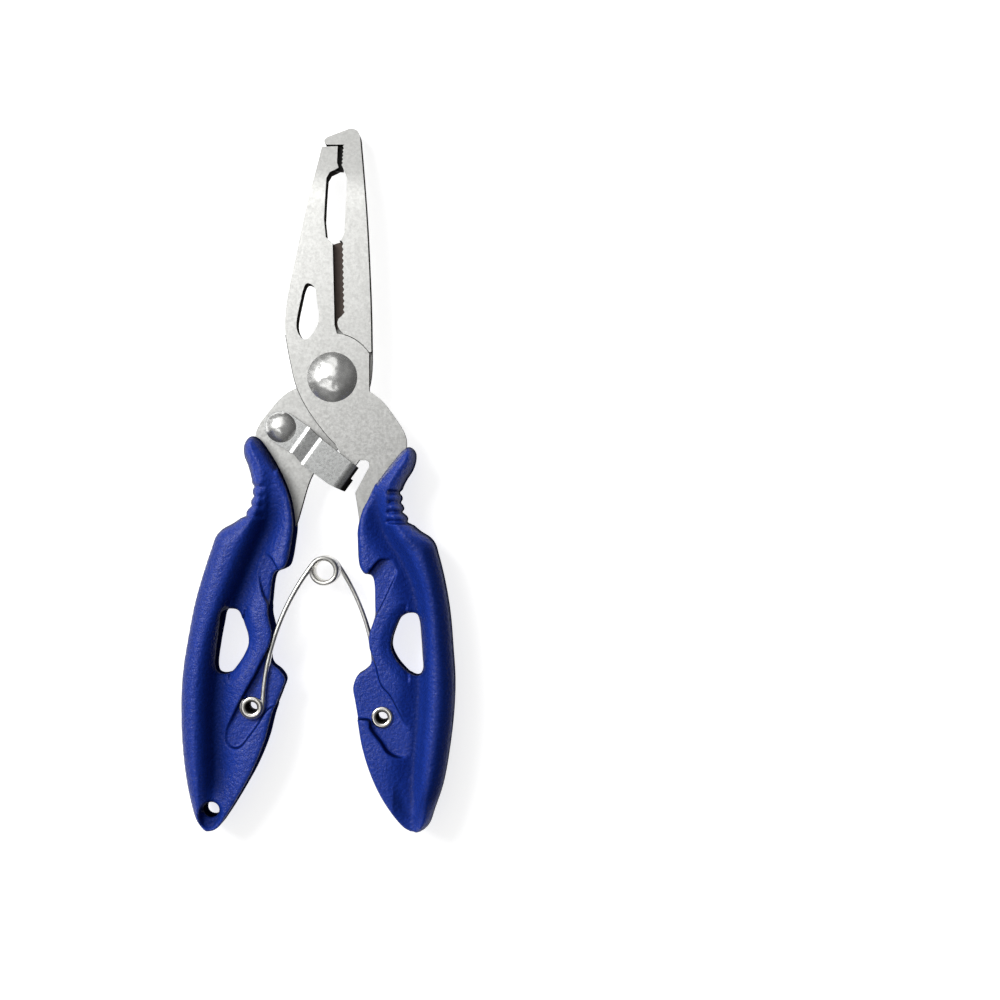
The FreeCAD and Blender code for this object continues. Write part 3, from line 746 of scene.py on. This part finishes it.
def steel_nodes(name, tones, roughness):
    """Satin tumbled stainless steel: fine pits, faint clouds and a few hairline scratches."""
    made, nodes, links, bsdf = material(name)
    bsdf.inputs["Metallic"].default_value = 1.0
    coords = object_coords(nodes)
    clouds = noise(nodes, links, coords, 1900, 4, 0.75)
    tone = ramp(nodes, links, clouds, list(zip((0.38, 0.62), tones)))
    pits = noise(nodes, links, coords, 2300, 3, 0.6)
    stretch = nodes.new("ShaderNodeMapping")
    stretch.inputs["Scale"].default_value = (1.0, 0.06, 1.0)
    stretch.inputs["Rotation"].default_value = (0, 0, 0.35)
    links.new(coords, stretch.inputs["Vector"])
    hairs = noise(nodes, links, stretch.outputs["Vector"], 2600, 2, 0.5)
    links.new(remap(nodes, links, clouds, 0.3, 0.7, *roughness), bsdf.inputs["Roughness"])
    first = bump(nodes, links, bsdf, pits, 0.25, 0.00005)
    bump(nodes, links, bsdf, hairs, 0.12, 0.00003, first)
    return made, nodes, links, bsdf, tone


def paint_wall_shade(nodes, links, bsdf, tone):
    """Paints the stamped side walls, their broken edges and other steep slopes near black and not
    metallic, and leaves the level faces bright: the cut walls are duller than the faces, and the near
    black is painted shade for the dark reflections on them.
    """
    wall = wall_mask(nodes, links, 0.72, 0.95)
    links.new(mixed(nodes, links, wall, tone, WALL_SHADE_PAINT), bsdf.inputs["Base Color"])
    links.new(remap(nodes, links, wall, 0, 1, 1, 0), bsdf.inputs["Metallic"])
    bsdf.inputs["IOR"].default_value = 1.0


def stamped_material(name, tones, roughness):
    made, nodes, links, bsdf, tone = steel_nodes(name, tones, roughness)
    paint_wall_shade(nodes, links, bsdf, tone)
    return made


def rear_plate_material():
    """The same steel as the front plate, with the step under the cutting edge coloured dark brown."""
    made, nodes, links, bsdf, tone = steel_nodes("satin_stainless_step", PLATE_TONES, PLATE_ROUGHNESS)
    place = nodes.new("ShaderNodeSeparateXYZ")
    links.new(object_coords(nodes), place.inputs[0])
    step_top = PIVOT.z * MM
    limits = (
        ("Z", step_top - 0.02 * MM, step_top + 0.03 * MM, 1, 0),
        ("Z", step_top - 0.35 * MM, step_top - 0.1 * MM, 0, 1),
        ("Y", (PIVOT.y + 8.2) * MM, (PIVOT.y + 8.8) * MM, 0, 1),
        ("Y", (PIVOT.y + 24.0) * MM, (PIVOT.y + 24.3) * MM, 1, 0),
    )
    masks = [remap(nodes, links, place.outputs[axis], *limit) for axis, *limit in limits]
    mask = masks[0]
    for other in masks[1:]:
        times = nodes.new("ShaderNodeMath")
        times.operation = "MULTIPLY"
        links.new(mask, times.inputs[0])
        links.new(other, times.inputs[1])
        mask = times.outputs[0]
    paint_wall_shade(nodes, links, bsdf, mixed(nodes, links, mask, tone, CUTTER_STEP))
    return made


def shade_black_material():
    """Near black, without a sheen: painted shade, put in the ferrules' bores, along the front plate's
    edge and in the gap between the noses.
    """
    made, nodes, links, bsdf = material("painted_shade_black")
    marks = noise(nodes, links, object_coords(nodes), 2200, 3, 0.6)
    links.new(ramp(nodes, links, marks, [(0.35, (0.008, 0.008, 0.008)), (0.65, (0.03, 0.028, 0.026))]),
              bsdf.inputs["Base Color"])
    bsdf.inputs["Roughness"].default_value = 0.7
    return made


def bright_metal(name, grain, tones, roughness, relief, dented=False):
    """Bright metal with faint marks, and with soft dents under them where it has been riveted."""
    made, nodes, links, bsdf = material(name)
    bsdf.inputs["Metallic"].default_value = 1.0
    coords = object_coords(nodes)
    marks = noise(nodes, links, coords, grain, 3, 0.6)
    links.new(ramp(nodes, links, marks, list(zip((0.35, 0.65), tones))), bsdf.inputs["Base Color"])
    links.new(remap(nodes, links, marks, 0.3, 0.7, *roughness), bsdf.inputs["Roughness"])
    first = None
    if dented:
        dents = noise(nodes, links, coords, 330, 1.5, 0.45)
        first = bump(nodes, links, bsdf, dents, 0.7, 0.0006)
    bump(nodes, links, bsdf, marks, *relief, first)
    return made


def polished_material():
    """Polished rivet heads, lifted by a faint glow of their own."""
    made = bright_metal("polished_steel", 1500, ((0.84, 0.84, 0.82), (0.93, 0.93, 0.91)), (0.2, 0.3),
                        (0.1, 0.00005), dented=True)
    bsdf = made.node_tree.nodes["Principled BSDF"]
    bsdf.inputs["Emission Color"].default_value = (1, 1, 0.98, 1)
    bsdf.inputs["Emission Strength"].default_value = 0.07
    return made


def wire_material():
    return bright_metal("spring_wire_steel", 1800, ((0.80, 0.79, 0.75), (0.92, 0.91, 0.87)), (0.3, 0.4),
                        (0.12, 0.00004))


def ferrule_material():
    return bright_metal("nickel_plate", 900, ((0.86, 0.83, 0.76), (0.95, 0.93, 0.88)), (0.12, 0.25),
                        (0.15, 0.00006))


MATERIALS = {
    "grip": grip_material(),
    "plate": stamped_material("satin_stainless", PLATE_TONES, PLATE_ROUGHNESS),
    "rear_plate": rear_plate_material(),
    "latch": stamped_material("pressed_stainless", LATCH_TONES, LATCH_ROUGHNESS),
    "shade_black": shade_black_material(),
    "polished": polished_material(),
    "spring_wire": wire_material(),
    "ferrule": ferrule_material(),
}


# ---------------------------------------------------------------- the object

def dress_steel():
    """Gives the CAD steel pieces their finish."""
    finishes = {"front_plate": "plate", "rear_plate": "rear_plate", "latch_lever": "latch",
                "pivot_rivet": "polished", "latch_rivet": "polished"}
    for node, finish in finishes.items():
        piece = frame["nodes"][node]
        piece.data.materials.clear()
        piece.data.materials.append(MATERIALS[finish])


# the line below is painted shade: a near-black wire where a shadow falls along the front plate's edge
SHADE_LINE_R = 0.07
SHADE_LINE_SINK = 0.05                # of the shade line's middle below the plate's face
PLATE_EDGE = [
    (1.1, -11.9), (-0.8, -10.0), (-4.2, -5.7), (-6.25, -1.9), (-7.6, 2.8), (-8.55, 7.0),
]


def make_plate_shade_line():
    """A thin near-black wire along the edge of the front plate where it crosses the rear plate: painted
    shade, standing for the shadow line at that edge.
    """
    top = (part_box("front_plate")[1].z / MM - PIVOT.z) - SHADE_LINE_SINK
    path = [(x, y, top) for x, y in smooth_path(PLATE_EDGE)]
    piece = tube("front_plate_shade_line", path, SHADE_LINE_R, sides=6)
    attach(piece, "right_half")
    piece.data.materials.append(MATERIALS["shade_black"])


# the slab below is painted shade: a near-black sheet in the dark gap between the noses
GAP_SHADE_LEFT, GAP_SHADE_RIGHT = -1.25, 0.2
GAP_SHADE_LOW, GAP_SHADE_HIGH = 36.7, 41.35
GAP_SHADE_THICK = 0.6
NOSE_TOP = 0.8                  # height of the shade slab at the bend
NOSE_BEND_Y = 32.7
NOSE_SLOPE = math.tan(math.radians(17.1))


def make_nose_gap_shade():
    """A near-black slab between the nibs of the two jaws, below the faces of the noses: painted shade for
    the dark gap there.
    """
    outline = [(GAP_SHADE_LEFT, GAP_SHADE_HIGH), (GAP_SHADE_RIGHT, GAP_SHADE_HIGH),
               (GAP_SHADE_RIGHT, GAP_SHADE_LOW), (GAP_SHADE_LEFT, GAP_SHADE_LOW)]
    verts = [(x, y, NOSE_TOP - drop - (y - NOSE_BEND_Y) * NOSE_SLOPE)
             for drop in (0, GAP_SHADE_THICK) for x, y in outline]
    sides = [(i, (i + 1) % 4, (i + 1) % 4 + 4, i + 4) for i in range(4)]
    faces = [(3, 2, 1, 0), (4, 5, 6, 7)] + sides
    piece = new_piece("nose_gap_shade", verts, faces)
    piece.data.polygons.foreach_set("use_smooth", [False] * len(faces))
    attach(piece, "left_half")
    piece.data.materials.append(MATERIALS["shade_black"])


def make_grips():
    for side, kind in GRIPS.items():
        piece = grip_mesh(f"{side}_grip_moulding", kind)
        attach(piece, f"{side}_half")
        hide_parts(f"{side}_grip")
        piece.data.materials.append(MATERIALS["grip"])


# ---------------------------------------------------------------- stage, light and camera

VIEW_DISTANCE = 300.0           # camera height above the middle of the thickness
VIEW_WIDTH = 177.6              # width of the picture at that distance
VIEW_CENTRE = (30.5, -20.4)     # under the middle of the picture
VIEW_TURN_DEG = 2.46

FLOOR_HALF = 12.0               # metres, so that the floor runs to the horizon in low views
FLOOR_GREY = 0.62
FLOOR_GLOW = 0.78               # share of the white that the floor gives off itself
SKY_GREYS = ((0.0, 0.07), (0.4, 0.09), (0.8, 0.24), (1.0, 0.25))     # horizon to zenith
SKY_TOWARD_LIGHT = (-0.88, 0.47, 0.0)
LIGHTS = (                      # name, place, target, size in mm, watts
    ("key", (-330, 215, 480), (0, 0, 0), (260, 260), 2.4),
    ("jaw_softbox", (-120, 315, 325), (-120, 315, 0), (330, 570), 0.41),
    ("left_panel", (-330, 60, 170), (0, 0, 0), (150, 200), 0.06),
    ("wire_softbox", (-75, -125, 325), (-75, -125, 0), (130, 120), 0.05),
)


def make_stage():
    corners = [(sx * FLOOR_HALF, sy * FLOOR_HALF, 0) for sx, sy in ((-1, -1), (1, -1), (1, 1), (-1, 1))]
    mesh = bpy.data.meshes.new("floor")
    mesh.from_pydata(corners, [], [(0, 1, 2, 3)])
    floor = bpy.data.objects.new("floor", mesh)
    bpy.context.scene.collection.objects.link(floor)
    made, _, _, bsdf = material("pale_floor")
    bsdf.inputs["Base Color"].default_value = (FLOOR_GREY, FLOOR_GREY, FLOOR_GREY, 1)
    bsdf.inputs["Roughness"].default_value = 0.9
    bsdf.inputs["Specular IOR Level"].default_value = 0.1
    bsdf.inputs["Emission Color"].default_value = (1, 1, 1, 1)
    bsdf.inputs["Emission Strength"].default_value = FLOOR_GLOW
    mesh.materials.append(made)


def make_light(name, place, target, size, power):
    data = bpy.data.lights.new(name, "AREA")
    data.shape = "RECTANGLE"
    data.size, data.size_y = size[0] * MM, size[1] * MM
    data.energy = power
    lamp = bpy.data.objects.new(name, data)
    bpy.context.scene.collection.objects.link(lamp)
    at, to = Vector(place) * MM, Vector(target) * MM
    lamp.location = at
    lamp.rotation_euler = (to - at).to_track_quat("-Z", "Y").to_euler()
    lamp.visible_camera = False


def make_world():
    bpy.context.scene.view_settings.view_transform = "Standard"
    world = bpy.data.worlds.new("studio")
    world.use_nodes = True
    bpy.context.scene.world = world
    nodes, links = world.node_tree.nodes, world.node_tree.links
    back = nodes["Background"]
    coords = nodes.new("ShaderNodeTexCoord")
    split = nodes.new("ShaderNodeSeparateXYZ")
    links.new(coords.outputs["Generated"], split.inputs[0])
    height = ramp(nodes, links, split.outputs["Z"], [(at, (grey, grey, grey)) for at, grey in SKY_GREYS])
    lean = nodes.new("ShaderNodeVectorMath")
    lean.operation = "DOT_PRODUCT"
    lean.inputs[1].default_value = SKY_TOWARD_LIGHT
    links.new(coords.outputs["Generated"], lean.inputs[0])
    side = remap(nodes, links, lean.outputs["Value"], -0.9, 0.9, 0.05, 1.95)
    shade = nodes.new("ShaderNodeVectorMath")
    shade.operation = "SCALE"
    links.new(height, shade.inputs[0])
    links.new(side, shade.inputs["Scale"])
    links.new(shade.outputs[0], back.inputs["Color"])
    back.inputs["Strength"].default_value = 1.0


def make_camera():
    data = bpy.data.cameras.new("camera")
    data.sensor_width = 36.0
    data.lens = data.sensor_width * VIEW_DISTANCE / VIEW_WIDTH
    data.clip_start, data.clip_end = 0.01, 20.0
    camera = bpy.data.objects.new("camera", data)
    bpy.context.scene.collection.objects.link(camera)
    camera.location = (PIVOT + Vector((*VIEW_CENTRE, VIEW_DISTANCE))) * MM
    camera.rotation_euler = (0, 0, math.radians(VIEW_TURN_DEG))
    bpy.context.scene.camera = camera


make_camera()
dress_steel()
make_grips()
make_nose_gap_shade()
make_plate_shade_line()
make_springs()
make_ferrules()
make_stage()
make_world()
for light in LIGHTS:
    make_light(*light)
